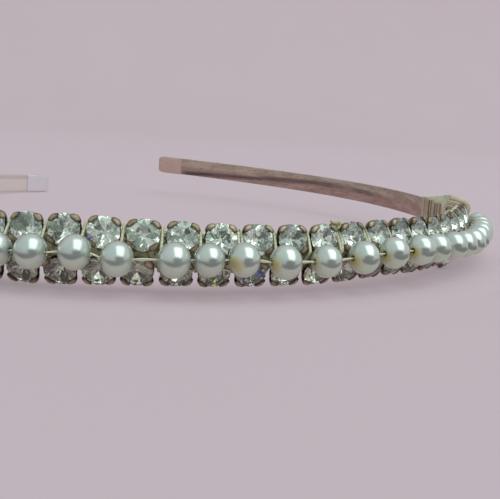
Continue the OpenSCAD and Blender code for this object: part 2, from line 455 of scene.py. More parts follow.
def tarnished_strip():
    """Taupe metal, olive grey along its upper half and rosy along the lower one, with one dark streak. The
    front, between the rows, is dirty and lifted by a pale painted light where it lies in shade, and the left
    arm and both hems have a tone of their own."""
    made, tree, shader = finish("tarnished strip", {})
    along, across, hem = (mark(tree, name) for name in ("along", "across", "hem"))
    drawn = put(tree, "CombineXYZ", {0: times(tree, along, 0.2), 1: times(tree, across, 2.5)}).outputs[0]
    wander = number(tree, "MULTIPLY_ADD", cloud(tree, drawn, 0.35), 0.9, -0.45)
    upper_half = between(tree, number(tree, "ADD", across, wander), -0.2, 0.45)
    base = mixed(tree, upper_half, tone(188, 157, 148), tone(192, 173, 157))
    dull = mixed(tree, upper_half, tone(168, 136, 128), tone(171, 152, 137))
    streaks = cloud(tree, stretched(tree, drawn, 0.6, 2.4, 1), 1.0, 5)
    rubbed = between(tree, streaks, 0.55, 0.8, 0, 0.5)
    metal = use_effect(tree, TARNISH, {"Position": drawn, "Patches": 0.6, "Bright": base, "Dull": dull,
                                       "Dark": tone(122, 104, 96), "Rubbed": rubbed})
    left = between(tree, along, -20, 20, 1, 0)
    from_middle = number(tree, "ABSOLUTE", along)
    front = times(tree, mark(tree, "outer"), between(tree, from_middle, *FRONT_LIGHT_AND_DIRT_ENDS, 0.95, 0))
    hem_tone = mixed(tree, left, tone(206, 178, 165), tone(226, 220, 230))
    colour = mixed(tree, times(tree, left, 0.85), metal["Color"], tone(236, 227, 222))
    colour = mixed(tree, times(tree, hem, 0.75), colour, hem_tone)
    # Painted light: the outer face between the rows gets a pale tone that lifts the shade there; the same
    # mask places the dirt below
    colour = mixed(tree, front, colour, tone(240, 240, 208))
    dirt = between(tree, cloud(tree, millimetres(tree), 0.9, 2), 0.46, 0.6, 0, 0.8)
    colour = mixed(tree, times(tree, front, dirt), colour, tone(84, 68, 46))
    off_line = number(tree, "ABSOLUTE", number(tree, "MULTIPLY_ADD", wander, 0.3, mark(tree, "line")))
    line_share = times(tree, between(tree, off_line, 0.1, 0.42, 1, 0), mark(tree, "dark"))
    line_share = times(tree, line_share, between(tree, streaks, 0.3, 0.6, 0.6, 1))
    colour = mixed(tree, line_share, colour, tone(82, 70, 70))
    edge_dirt = between(tree, number(tree, "ABSOLUTE", across), 0.86, 1.0, 0, 0.25)
    colour = mixed(tree, edge_dirt, colour, tone(110, 94, 84))
    join(tree, shader, Base_Color=colour, Roughness=metal["Roughness"],
         Metallic=number(tree, "MULTIPLY_ADD", front, -0.45, 0.5),
         Normal=bumped(tree, number(tree, "MULTIPLY_ADD", streaks, 0.5, metal["Height"]), 0.25, 0.03))
    return made


def tarnished_cup(name, bright, dull, dark, painted_wall_light):
    """Stamped brass gone brown, dark round the rims and paler where the claws are rubbed. The walls
    get a pale painted light that lifts the shade they lie in between the rows.
    """
    made, tree, shader = finish(name, {})
    position = millimetres(tree)
    wall = mark(tree, "wall")
    worn = times(tree, mark(tree, "worn"), between(tree, cloud(tree, position, 1.1), 0.3, 0.62, 0.3, 1.0))
    shift = times(tree, mark(tree, "tone"), 0.45)
    metal = use_effect(tree, TARNISH, {"Position": position, "Patches": 0.8, "Bright": bright,
                                       "Dull": mixed(tree, shift, dull, dark), "Dark": dark,
                                       "Rubbed": worn})
    colour = mixed(tree, times(tree, mark(tree, "rim"), 0.95), metal["Color"], dark)
    # Painted light: the walls are lifted towards a pale tone where they lie in shade between the rows
    colour = mixed(tree, times(tree, wall, 0.95), colour, painted_wall_light)
    join(tree, shader, Base_Color=colour, Roughness=metal["Roughness"],
         Metallic=between(tree, wall, 0, 1, 0.5, 0.2),
         Normal=bumped(tree, metal["Height"], 0.4, 0.04))
    return made


def stone_glass():
    """Clear glass with a faint green cast and the haze of age."""
    made, tree, shader = finish("cut glass", {"IOR": 1.54, "Transmission Weight": 0.94})
    haze = cloud(tree, millimetres(tree), 0.6, 2)
    colour = mixed(tree, between(tree, haze, 0.35, 0.7), tone(250, 254, 249), tone(240, 249, 239))
    join(tree, shader, Base_Color=colour, Roughness=between(tree, haze, 0.45, 0.75, 0.0, 0.09))
    return made


def stone_foil(name, plain, shade, blur):
    """Mirror backing of a stone, with painted reflections: each facet is painted in a lighter or a darker
    tone, and a few of them with a coloured flash.
    """
    made, tree, shader = finish(name, {"Metallic": 0.85})
    facet = mark(tree, "facet")
    # Painted reflection: the facet's mark picks between the foil's darker and lighter tone
    colour = mixed(tree, between(tree, facet, 0.15, 0.36), shade, plain)
    # Painted coloured flashes, standing for the fire of the cut, on the facets with these marks
    for value, flash in PAINTED_FIRE:
        near = number(tree, "COMPARE", facet, value, PAINTED_FIRE_MARGIN)
        colour = mixed(tree, near, colour, flash)
    dust = cloud(tree, millimetres(tree), 0.8, 2)
    colour = mixed(tree, between(tree, dust, 0.55, 0.8, 0, 0.5), colour, shade)
    join(tree, shader, Base_Color=colour, Roughness=between(tree, dust, 0.4, 0.8, blur, blur + 0.08))
    return made


def nacre():
    """Pearl coating, worn to the ochre glass below round one end of the drill hole, with a painted
    reflection of the floor on its lower part: greener low down and pinkish at the bottom.
    """
    made, tree, shader = finish("pearl nacre", {"Coat Roughness": 0.13, "Coat IOR": 1.6})
    position = millimetres(tree)
    ragged = number(tree, "MULTIPLY_ADD", cloud(tree, position, 0.6, 4), 0.5, -0.25)
    reach = number(tree, "ADD", mark(tree, "cap"), ragged)
    bare = times(tree, between(tree, reach, 0.36, 0.74, 1, 0), mark(tree, "worn"))
    core = times(tree, between(tree, reach, 0.08, 0.5, 1, 0), mark(tree, "worn"))
    nacre_tone_and_painted_reflection = mixed(tree, between(tree, cloud(tree, position, 0.3), 0.35, 0.65),
                      tone(208, 217, 208), tone(198, 208, 201))
    height = mark(tree, "height")
    # Painted reflection: the lower part turns greener and the bottom pinkish, as the floor in front would
    # show in it
    nacre_tone_and_painted_reflection = mixed(tree, between(tree, height, -0.75, 0.1, 0.9, 0), nacre_tone_and_painted_reflection, tone(208, 222, 196))
    nacre_tone_and_painted_reflection = mixed(tree, between(tree, height, -1.0, -0.62, 0.8, 0), nacre_tone_and_painted_reflection, tone(228, 214, 208))
    ochre = mixed(tree, core, tone(200, 193, 154), tone(184, 171, 112))
    colour = mixed(tree, bare, nacre_tone_and_painted_reflection, ochre)
    colour = mixed(tree, between(tree, mark(tree, "hole"), 0.3, 1.0, 0, 0.5), colour, tone(168, 160, 122))
    join(tree, shader, Base_Color=colour,
         Metallic=between(tree, bare, 0.1, 0.9, 0.66, 0.1),
         Coat_Weight=between(tree, bare, 0.2, 1.0, 0.4, 0.25),
         Roughness=number(tree, "MULTIPLY_ADD", bare, 0.16, 0.24),
         Normal=bumped(tree, cloud(tree, position, 0.9, 2), 0.06, 0.05))
    return made


def thread(name, light, shade, old, gloss, clear=0.0):
    made, tree, shader = finish(name, {"Subsurface Weight": clear, "Subsurface Scale": 0.3 * MM,
                                       "Specular IOR Level": 0.6})
    fibre = use_effect(tree, FIBRE, {"Position": millimetres(tree), "Run": mark(tree, "run"),
                                     "Light": light, "Shade": shade, "Aged": mark(tree, "aged"),
                                     "Old": old})
    join(tree, shader, Base_Color=fibre["Color"],
         Roughness=between(tree, fibre["Height"], -0.5, 1.5, gloss - 0.08, gloss + 0.08),
         Normal=bumped(tree, fibre["Height"], 0.35, 0.03))
    return made


STRIP_METAL = tarnished_strip()
# The last tone of each is the painted light on the cup walls
UPPER_METAL = tarnished_cup("upper cups", tone(180, 164, 134), tone(130, 114, 88), tone(62, 48, 34),
                            tone(238, 242, 210))
LOWER_METAL = tarnished_cup("lower cups", tone(190, 168, 142), tone(140, 118, 95), tone(64, 48, 36),
                            tone(232, 218, 200))
GLASS = stone_glass()
# Marks of the mirrored facets: plain ones lie below the first number and get the foil's painted lighter or
# darker tone, and three others mean a painted coloured flash
PLAIN_FACETS = 0.94
VIOLET, BLUE, YELLOW = 0.955, 0.975, 0.995
PAINTED_FIRE = ((VIOLET, tone(178, 164, 250)), (BLUE, tone(120, 144, 226)), (YELLOW, tone(250, 240, 120)))
PAINTED_FIRE_MARGIN = 0.005
# Painted reflection: each foil's darker tone stands for facets that mirror shade, and the lower foil is
# warmer and browner, as it mirrors the shaded floor below its row
UPPER_FOIL = stone_foil("upper foil", tone(254, 255, 252), tone(162, 174, 164), 0.04)
LOWER_FOIL = stone_foil("lower foil", tone(250, 248, 238), tone(170, 164, 152), 0.1)
NACRE = nacre()
STRING_THREAD = thread("pearl string", tone(238, 238, 214), tone(214, 216, 184), tone(176, 166, 116), 0.4)
WRAP_THREAD = thread("wrapping thread", tone(226, 231, 202), tone(198, 206, 172), tone(164, 156, 98),
                     0.32, 0.25)
BINDING_THREAD = thread("binding thread", tone(232, 238, 206), tone(218, 224, 192), tone(174, 148, 126),
                        0.45)
BINDING_PAD = thread("binding padding", tone(222, 228, 200), tone(202, 208, 178), tone(150, 134, 108), 0.6)


# The strip

TIP_ROUND = 1.0
EDGE_ROUND = 0.26
STRIP_STEP = 1.2
# The even steps along the strip stop at this distance from a tip, with one more step near the tip
TIP_RUN = 0.6
TIP_STEP = 0.25
# Degrees between the points of a rounded edge, and of the fold at a tip
ROUND_STEP = 22.5
FOLD_SWELL = 1.02
HEM_STEPS = (0, 1.2, 2.4, 3.6, 4.8, 5.6, 6.3, 6.8, HEM_LENGTH)
HEM_GAP = 0.02
# The hem grows thinner from this distance on, and loses this share of its thickness
HEM_THINS_FROM = 4.8
HEM_THINNING = 0.85
# The dents follow the product of two waves, in radians to a millimetre, and fade out near the tips
DENT_DEPTH = 0.05
DENT_WAVES = (0.31, 0.083)
DENT_FADE = 8
# The dark streak: place along, height of its middle (-1 is the lower edge, 1 the upper one), strength
STREAK = ((-193, 0.75, 0.22), (-150, 0.65, 0.3), (-95, 0.1, 0), (95, 0.0, 0), (112, 0.05, 0.15),
          (117, 0.13, 0.8), (121, 0.15, 0.8), (125, 0.2, 0.4), (129, 0.24, 0.9), (136, 0.2, 0.8),
          (152.6, -0.13, 0.8), (168.9, -0.53, 0.9), (184.5, -0.75, 1.0), (186.4, -0.75, 0.1),
          (193, -0.75, 0))


def strip_path():
    """The strip from tip to tip with its folded ends: (middle, outward way, along, distance from the end,
    share of the thickness, how far it is folded)."""
    half = BAND_THICKNESS / 2
    inside = HALF_LENGTH - TIP_RUN
    count = math.ceil(2 * inside / STRIP_STEP)
    flat = [inside * (2 * k / count - 1) for k in range(count + 1)]
    flat = [-HALF_LENGTH, TIP_STEP - HALF_LENGTH] + flat + [HALF_LENGTH - TIP_STEP, HALF_LENGTH]

    def outward(s):
        return (place(s, 1, 0) - place(s, 0, 0)).normalized()

    def fold(side):
        """The bend from the strip to the hem, then the hem itself, thinner towards its edge."""
        tip = side * HALF_LENGTH
        onward = (place(tip, 0, 0) - place(tip - side * 0.1, 0, 0)).normalized()
        for k in range(1, 8):
            a = ROUND_STEP * k
            c, s = math.cos(math.radians(a)), math.sin(math.radians(a))
            normal = outward(tip) * c + onward * s
            middle = place(tip, -half, 0) + normal * half * FOLD_SWELL
            yield middle, normal, tip, half * (1 - s), 1, a / 180
        for back in HEM_STEPS:
            s = tip - side * back
            thinned = max(0, (back - HEM_THINS_FROM) / (HEM_LENGTH - HEM_THINS_FROM)) ** 1.5
            middle = place(s, -2 * half - HEM_GAP, 0)
            yield middle, -outward(s), s, half + back, 1 - HEM_THINNING * thinned, 1

    straight = [(place(s, 0, 0), outward(s), s, HALF_LENGTH + half - abs(s), 1, 0) for s in flat]
    return list(fold(-1))[::-1] + straight + list(fold(1))


def strip_section():
    """Section of the strip as (across its thickness, up), a flat oblong with rounded edges."""
    half_t, half_w = BAND_THICKNESS / 2, BAND_WIDTH / 2
    points = []
    for x, y, first in ((1, 1, 0), (-1, 1, 90), (-1, -1, 180), (1, -1, 270)):
        for k in range(5):
            angle = math.radians(first + ROUND_STEP * k)
            points.append((x * (half_t - EDGE_ROUND) + EDGE_ROUND * math.cos(angle),
                           y * (half_w - EDGE_ROUND) + EDGE_ROUND * math.sin(angle)))
        if x * y > 0:
            points.append((0.0, y * half_w))
        else:
            points += [(x * half_t, y * half_w * share) for share in (0.5, 0.0, -0.5)]
    return points


def make_strip():
    shape = Shape()
    path = strip_path()
    section = strip_section()
    points = []
    marks = {name: [] for name in ("along", "across", "hem", "outer", "line", "dark")}
    for centre, way, s, from_end, thickness, folded in path:
        lost = TIP_ROUND - math.sqrt(TIP_ROUND ** 2 - max(0, TIP_ROUND - from_end) ** 2)
        dent = (DENT_DEPTH * math.sin(s * DENT_WAVES[0]) * math.sin(s * DENT_WAVES[1] + 1)
                * min(1, from_end / DENT_FADE) * (1 - folded))
        for thick, up in section:
            up *= 1 - lost / (BAND_WIDTH / 2)
            thick = thick * thickness - BAND_THICKNESS / 2 * (1 - thickness)
            points.append(centre + way * (thick + dent) + Vector((0, 0, up)))
            height = 2 * up / BAND_WIDTH
            values = (s, height, folded, float(thick > 0), height - lookup(STREAK, s),
                      lookup(STREAK, s, 2) * (1 - folded))
            for column, value in zip(marks.values(), values):
                column.append(value)
    faces = [face[::-1] for face in skin(len(path), len(section))]
    shape.add(points, faces, **marks)
    shape.piece("strip", ["band"], [STRIP_METAL], crease=50)


# Settings and stones

# Outline of a cup as (radius, height): up its wall, steps over the lip from the rim, and down inside
CUP_WALL = ((0.05, 0), (1.45, 0), (1.6, 0.06), (2.05, 0.8), (2.32, 1.32), (2.38, 1.45))
CUP_LIP = ((0.0, 0.0), (-0.04, 0.05), (-0.13, 0.05), (-0.17, 0.0))
CUP_INSIDE = ((2.19, 1.42), (1.42, 0.3), (0.05, 0.27))
CUP_RIM_H = 1.74
CUP_SCALLOP = 0.16
CUP_TURNS = 48
# Claws: place round the cup in degrees, and the side to which each is drawn in
CLAWS = ((45, 1), (135, -1), (225, 1), (315, -1))
CLAW_TWIST = 3
# Middle line of a claw as (radius, height)
CLAW_PATH = ((2.2, 1.15), (2.52, 1.65), (2.67, 2.05), (2.71, 2.3), (2.6, 2.5), (2.34, 2.61), (1.98, 2.68))
CLAW_TURNS = 14
CLAW_WIDTH = 1.86
CLAW_WIDTH_SPREAD = 0.14
CLAW_THICKNESS = 0.24
# How far a claw may lean out or in, and the heights above which its bend and its tip do so
CLAW_LEAN = (-0.05, 0.07)
CLAW_BEND_H = 2
CLAW_TIP_H = 2.4
TONGUE_STEPS = (1.7, 2.4, 3.0, 3.6)
TONGUE_TURNS = 8
TONGUE_HALF_WIDTH = 0.26
TONGUE_HALF_THICKNESS = 0.13
SLIPPED_MOOD = 1.7
STAR_R = 1.84
LOWER_STAR_R = 1.25
STONE_TIP = 1.6


def cup(shape, at, mood, dice):
    """A stamped cup with a scalloped rim."""
    points = []
    rows = len(CUP_WALL) + len(CUP_LIP) + len(CUP_INSIDE)

    def ring(radius, height, scallop=0.0):
        for a in round_angles(CUP_TURNS):
            points.append((*polar(radius, a), height - scallop * math.cos(4 * a)))

    def values(*runs):
        """A mark's value at each point, from (number of rings, value) pairs."""
        return sum(([value] * (count * CUP_TURNS) for count, value in runs), [])

    for radius, height in CUP_WALL:
        ring(radius, height)
    for step_in, step_up in CUP_LIP:
        ring(CUP_RIM_R + step_in, CUP_RIM_H + step_up, CUP_SCALLOP)
    for radius, height in CUP_INSIDE:
        ring(radius, height)
    below = len(CUP_WALL) - 1
    edge = values((below, 0.0), (1, 0.5), (len(CUP_LIP), 0.8), (len(CUP_INSIDE), 0.0))
    wall = values((below, 1.0), (1, 0.3), (rows - len(CUP_WALL), 0.0))
    shape.add(points, skin(rows, CUP_TURNS), at=at, rim=edge, wall=wall, tone=mood)
    for quarter, skew in CLAWS:
        claw(shape, at @ turn(quarter + dice.uniform(-CLAW_TWIST, CLAW_TWIST), "Z"), skew, mood, dice)


def claw(shape, at, skew, mood, dice):
    """A rounded tab bent over the stone. It hugs the cup, and its tip lies on the crown. The skew tells on
    which side it is drawn in, so that the tab lies more along the row than the cup's rim does."""
    width = CLAW_WIDTH + dice.uniform(-CLAW_WIDTH_SPREAD, CLAW_WIDTH_SPREAD)
    lean = dice.uniform(*CLAW_LEAN)
    path = smoothed([(r + lean * max(0, z - CLAW_BEND_H) * 0.6, 0, z + lean * (z > CLAW_TIP_H))
                     for r, z in CLAW_PATH], 3)
    points, worn, edge = [], [], []
    for k, here in enumerate(path):
        share = k / (len(path) - 1)
        way = (path[min(k + 1, len(path) - 1)] - path[max(k - 1, 0)]).normalized()
        outward = Vector((way.z, 0, -way.x))
        # The last third narrows to a rounded tip
        taper = math.sqrt(max(0.0, 1 - max(0.0, (share - 0.66) / 0.34) ** 2.2))
        half_width = width / 2 * (0.3 + 0.7 * taper) * (0.84 + 0.16 * math.sin(math.pi * share))
        half_thick = CLAW_THICKNESS / 2 * (0.55 + 0.45 * taper)
        for a in round_angles(CLAW_TURNS):
            across = half_width * eased(math.sin(a), 0.75)
            surface = here + outward * half_thick * eased(math.cos(a), 0.8)
            bend = across / max(here.x, 1.2)
            drawn_in = max(-0.08 * across * skew, 0.32 * across * skew) * min(1, here.z - 1)
            radius = surface.x - drawn_in
            points.append((*polar(radius, bend), surface.z))
            middle = max(0.0, math.cos(a)) ** 2 * max(0.0, min(1.0, (share - 0.5) * 3)) * taper ** 2
            worn.append(middle)
            edge.append(max(0.0, 1 - 1.5 * middle) * max(0.0, min(1.0, (share - 0.2) * 3)))
    shape.add(points, skin(len(path), CLAW_TURNS), at=at, worn=worn, rim=edge, tone=mood)


def link(shape, at, mood):
    """The tongue that joins a setting to the next one."""
    bend = math.radians(SETTING_PITCH / ARCS[0][1] * 90 / math.pi)
    path = [Vector((x, 0, TONGUE_H - (x - CUP_FOOT_R) * math.tan(bend))) for x in TONGUE_STEPS]
    points = []
    for here in path:
        for a in round_angles(TONGUE_TURNS):
            points.append(here + Vector((0, TONGUE_HALF_WIDTH * eased(math.cos(a), 0.6),
                                         TONGUE_HALF_THICKNESS * eased(math.sin(a), 0.6))))
    shape.add(points, skin(len(path), TONGUE_TURNS), at=at, worn=0.2, tone=mood)


def make_settings(name, node, row, metal, seed):
    dice = random.Random(seed)
    shape = Shape()
    for i in range(SETTINGS):
        at = setting_seat(row, i)
        mood = SLIPPED_MOOD if i == row["slipped"] else dice.random()
        cup(shape, at, mood, dice)
        loose = row["slipped"] is not None and i in (row["slipped"], row["slipped"] - 1)
        if i < SETTINGS - 1 and not loose:
            link(shape, at, mood)
    shape.piece(name, [node], [metal], crease=48)


def crown_height(radius, from_corner):
    """Height of the crown's main facets at a radius, seen at an angle from the nearest corner."""
    drop = (TABLE_H - GIRDLE_H - GIRDLE_T) / (STONE_R - TABLE_R)
    return TABLE_H - (radius * math.cos(from_corner) - TABLE_R) * drop


def pavilion_height(radius, from_corner):
    rise = (GIRDLE_H - CULET_H) / (STONE_R - CULET_R)
    return CULET_H + (radius * math.cos(from_corner) - CULET_R) * rise


def stone(shape, at, dice, flashes):
    """A round cut: table, star, kite and half facets above, and as many mirrored ones below, each painted in
    the foil's lighter or darker tone. The flashes are painted coloured ones, given as (which eighth of the
    stone, colour) pairs. Eighths are counted from the right by way of the top, before the stone is turned in
    its cup.
    Half an eighth more means the small facet beside the large one."""
    half_step = TAU / 16

    def ring(count, radius, height, offset=0.0):
        return [(*polar(radius, a + offset), height) for a in round_angles(count)]

    points = (ring(8, TABLE_R, TABLE_H)
              + ring(8, STAR_R, crown_height(STAR_R, half_step), half_step)
              + ring(16, STONE_R, GIRDLE_H + GIRDLE_T) + ring(16, STONE_R, GIRDLE_H)
              + ring(8, LOWER_STAR_R, pavilion_height(LOWER_STAR_R, half_step), half_step)
              + ring(8, CULET_R, CULET_H))
    table, star, upper, lower, low_star, culet = 0, 8, 16, 32, 48, 56
    crown = [list(range(8))]
    girdle, pavilion = [], []
    for k in range(8):
        after, before = (k + 1) % 8, (k - 1) % 8
        g, g_half, g_next = 2 * k, (2 * k + 1) % 16, (2 * k + 2) % 16
        crown += [(table + k, star + k, table + after),
                  (table + k, star + before, upper + g, star + k),
                  (star + k, upper + g, upper + g_half),
                  (star + k, upper + g_half, upper + g_next)]
        pavilion += [(culet + k, low_star + k, lower + g, low_star + before),
                     (culet + k, culet + after, low_star + k),
                     (low_star + k, lower + g_half, lower + g),
                     (low_star + k, lower + g_next, lower + g_half)]
        girdle += [(upper + g, lower + g, lower + g_half, upper + g_half),
                   (upper + g_half, lower + g_half, lower + g_next, upper + g_next)]
    pavilion.append([culet + k for k in range(7, -1, -1)])
    at = at @ turn(dice.uniform(0, 45), "Z") @ turn(dice.uniform(-STONE_TIP, STONE_TIP), "X")
    clear = crown + girdle
    # Each mirrored facet gets a random mark, which paints it in the foil's lighter or darker tone
    mirrors = [PLAIN_FACETS * dice.random() for face in pavilion]
    for eighth, colour in flashes:
        mirrors[int(4 * eighth)] = colour
    shape.add(points, clear + pavilion, at=at, facets={"facet": [0.0] * len(clear) + mirrors})
    shape.finishes[-len(pavilion):] = [1] * len(pavilion)


# Stones with a painted coloured flash, by their number in the row, from 0 at the left
UPPER_PAINTED_FLASHES = {3: ((5.5, BLUE),), 5: ((0.5, VIOLET),), 8: ((4.5, VIOLET),), 11: ((4.5, YELLOW),),
                 12: ((3.5, BLUE),), 17: ((2, BLUE),), 19: ((1, VIOLET),), 22: ((6.5, YELLOW),)}
LOWER_PAINTED_FLASHES = {4: ((6, BLUE),), 11: ((5.5, YELLOW),), 12: ((0, BLUE), (7, BLUE)), 20: ((6, YELLOW),)}


def make_stones(name, node, row, foil, flashes, seed):
    dice = random.Random(seed)
    shape = Shape()
    for i in range(SETTINGS):
        stone(shape, setting_seat(row, i), dice, flashes.get(i, ()))
    shape.piece(name, [node], [GLASS, foil], smooth=False)


# Pearls and their string

# How far the coating is worn near a drill hole, by the pearl's number, and the middle of the worn patch as
# seen from the middle of the pearl: along, up, out
WORN = {9: (0.15, (-0.96, -0.2, 0)), 10: (0.2, (-0.96, -0.2, 0)), 11: (0.3, (0.98, 0.3, 0)),
        12: (0.35, (-0.98, -0.1, 0)), 13: (0.15, (-0.96, -0.2, 0)), 14: (1.0, (-0.8, -0.18, 0.58)),
        15: (0.95, (-0.91, -0.08, 0.4)), 16: (0.75, (-0.99, -0.05, 0.1)), 17: (1.0, (-0.96, -0.12, 0.26)),
        18: (1.0, (-0.98, -0.15, 0.1)), 19: (1.0, (-0.98, -0.16, 0.07)), 20: (0.6, (-0.97, -0.2, 0.0)),
        21: (0.5, (-0.97, -0.2, -0.08)), 22: (0.4, (-0.95, -0.2, -0.2))}
USUAL_WEAR = (0.1, 0.3, 0.7)
USUAL_PATCH = (-0.96, -0.2, 0)
PEARL_TURNS, PEARL_ROWS = 56, 34
PEARL_LIP = 0.56
PEARL_RIPPLE = 0.004
LIP_DIRT = 0.35
# Steps from the lip into the drill hole: depth, how much wider than the bore, dirt
HOLE_STEPS = ((0.05, 0.02, 0.8), (0.16, 0.0, 1.0))
# Strands of the string: how far out from the middle of the drill holes, radius
STRANDS = ((0.1, 0.125), (-0.11, 0.115))
IN_HOLE = 1.8
# Between pearls further apart than this, the strands lie side by side a little left of the gap's middle
WIDE_STEP = 5.6
WIDE_SHIFT = 0.4


def pearl_section(half, bore):
    """Section of a pearl as (along its bore, radius, dirt): over its outside, then back inside the bore."""
    start = math.acos(PEARL_LIP / half)
    outline = []
    for k in range(PEARL_ROWS + 1):
        a = -start + 2 * start * k / PEARL_ROWS
        dirt = LIP_DIRT if k in (0, PEARL_ROWS) else 0.0
        outline.append((half * PEARL_SQUASH * math.sin(a), half * math.cos(a), dirt))
    end = outline[-1][0]
    left = [(-end + depth, bore + wider, dirt) for depth, wider, dirt in HOLE_STEPS[::-1]]
    right = [(end - depth, bore + wider, dirt) for depth, wider, dirt in HOLE_STEPS]
    return left + outline + right + [(end * share, bore, 1.0) for share in (0.5, 0.0, -0.5)]


def make_pearl(number_in_row, dice):
    s, up, diameter = PEARLS[number_in_row - 1]
    half = diameter / 2
    section = pearl_section(half, PEARL_BORE / 2)
    worn, patch = WORN.get(number_in_row, (dice.choice(USUAL_WEAR), USUAL_PATCH))
    points, cap, height, hole = [], [], [], []
    for along, radius, dirt in section:
        for a in round_angles(PEARL_TURNS):
            out, up_part = polar(radius, a)
            ripple = 1 + PEARL_RIPPLE * math.sin(3 * a + number_in_row) * radius / half
            points.append((along, up_part * ripple, out * ripple))
            cap.append(Vector((along, up_part, out)).angle(Vector(patch)))
            height.append(up_part / half)
            hole.append(dirt)
    faces = [face[::-1] for face in skin(len(section), PEARL_TURNS, joined=True)]
    shape = Shape()
    shape.add(points, faces, at=seat(s, STRING_OUT, up), cap=cap, height=height, hole=hole, worn=worn)
    shape.piece(f"nacre_{number_in_row:02d}", [f"pearl_{number_in_row:02d}"], [NACRE])


def string_route(offset):
    """One strand of the pearls' string. The two lie one behind the other, and side by side in wide gaps."""
    first, last = PEARLS[0], PEARLS[-1]
    left_tail, right_tail = first[0] - THREAD_END, last[0] + THREAD_END
    route = [place(left_tail, binding_out(left_tail, LEFT_START) + THREAD_REST, first[1]),
             place(first[0] - THREAD_TURN, STRING_OUT + offset, first[1])]
    for here, after in zip(PEARLS, PEARLS[1:] + (None,)):
        for way in (-IN_HOLE, 0.0, IN_HOLE):
            route.append(place(here[0] + way, STRING_OUT + offset, here[1]))
        if after and after[0] - here[0] > WIDE_STEP:
            route.append(place((here[0] + after[0]) / 2 - WIDE_SHIFT, STRING_OUT + offset * 0.4,
                               (here[1] + after[1]) / 2 + offset))
    route += [place(last[0] + THREAD_TURN, STRING_OUT + offset, last[1]),
              place(right_tail, binding_out(right_tail, RIGHT_START) + THREAD_REST, last[1])]
    return route


def make_string():
    shape = Shape()
    for offset, radius in STRANDS:
        tube(shape, smoothed(string_route(offset), 3), radius, aged=0.1)
    shape.piece("pearl_strands", ["pearl_thread"], [STRING_THREAD])


# Wrapping thread and bindings

# Route of the thread round the strip and both rows, between two settings, as (out, up)
WRAP_ROUTE = ((-0.66, 0), (-0.66, 2.1), (-0.35, 2.82), (0.5, 3.1), (1.5, 3.45), (2.2, 3.1), (2.95, 2.3),
              (3.75, 1.1), (4.03, 0.2), (3.3, -0.6), (2.35, -1.5), (1.85, -2.4), (1.3, -3.05), (0.5, -3.0),
              (-0.35, -2.82), (-0.66, -2.1))
WRAP_R = 0.23
WRAP_HALF_HEIGHT = 3.5
# A turn slants one way in front of the rows and less, the other way, behind this distance out
WRAP_FRONT = 0.6
WRAP_BACK_SLANT = -0.4
# A turn takes part in this share of the lower row's lag, and in the rows' sway above and below this height
WRAP_LAG = 0.8
WRAP_SWAY_FROM = 0.5
# How far a turn may slant, shift, yellow and stray from its route
WRAP_SLANT = 0.3
WRAP_SHIFT = 0.05
WRAP_AGED = 0.35
WRAP_UNEVEN = 0.03
# Gaps, by the setting on their left, where the thread goes round twice, with how far the second turn slants
DOUBLED = {4: 0.4, 11: 0.5, 14: 0.8, 15: 0.9, 19: 0.5}
SECOND_TURN = 0.26

KNOT_GAP = 14
# The knot's middle: along from the middle of its gap, out, up
KNOT_MIDDLE = (-0.1, 2.05, 3.9)
KNOT_R = 0.5
KNOT_SQUEEZE = 0.6
KNOT_DEPTH = 0.24
KNOT_LIFT = 0.1
KNOT_STEPS = 30
KNOT_THREAD_R = 0.27
TAG_ROUTE = ((-0.1, 0.1, 0.1), (-0.45, 0.5, 0.3), (-0.95, 0.75, 0.35), (-1.25, 0.95, 0.2))
TAG_R = 0.15


def wrap_loop(gap, shift, slant, dice):
    s = FIRST_SETTING + (gap + 0.5) * SETTING_PITCH
    sway = lookup(UPPER_SWAY, s), lookup(LOWER_SWAY, s)
    points = []
    for out, up in WRAP_ROUTE:
        share = (up + WRAP_HALF_HEIGHT) / (2 * WRAP_HALF_HEIGHT)
        slanted = slant * (share - 0.5) * (1 if out > WRAP_FRONT else WRAP_BACK_SLANT)
        move = shift + slanted - ROW_LAG * (1 - share) * WRAP_LAG
        sways = sway[0] if up > WRAP_SWAY_FROM else sway[1] if up < -WRAP_SWAY_FROM else 0
        points.append(place(s + move, out + dice.uniform(-WRAP_UNEVEN, WRAP_UNEVEN), up + sways))
    return smoothed(points, 5, closed=True)


def make_wraps(seed):
    dice = random.Random(seed)
    shape = Shape()
    for gap in range(SETTINGS - 1):
        slant = dice.uniform(-WRAP_SLANT, WRAP_SLANT)
        shift = dice.uniform(-WRAP_SHIFT, WRAP_SHIFT)
        aged = dice.uniform(0.0, WRAP_AGED)
        tube(shape, wrap_loop(gap, shift, slant, dice), WRAP_R, closed=True, aged=aged)
        if gap in DOUBLED:
            second = wrap_loop(gap, shift + SECOND_TURN, DOUBLED[gap], dice)
            tube(shape, second, WRAP_R, closed=True, aged=aged)
    shape.piece("wrapping_thread", [], [WRAP_THREAD])


def make_knot():
    """The knot where the wrapping thread was tied off, on the upper edge, with one short tag end."""
    shape = Shape()
    s = FIRST_SETTING + (KNOT_GAP + 0.5) * SETTING_PITCH
    along, out, up = KNOT_MIDDLE
    at = seat(s + along, out, up + lookup(UPPER_SWAY, s))
    path = []
    for k in range(KNOT_STEPS + 1):
        a = TAU * k / KNOT_STEPS
        path.append(at @ Vector((KNOT_R * (math.sin(a) + 2 * math.sin(2 * a)) * KNOT_SQUEEZE,
                                 KNOT_R * (math.cos(a) - 2 * math.cos(2 * a)) * KNOT_SQUEEZE,
                                 KNOT_DEPTH * math.sin(3 * a) + KNOT_LIFT)))
    tube(shape, path, KNOT_THREAD_R, aged=0.9)
    tube(shape, smoothed([at @ Vector(p) for p in TAG_ROUTE], 4), TAG_R, aged=0.8)
    shape.piece("wrapping_knot", [], [WRAP_THREAD])


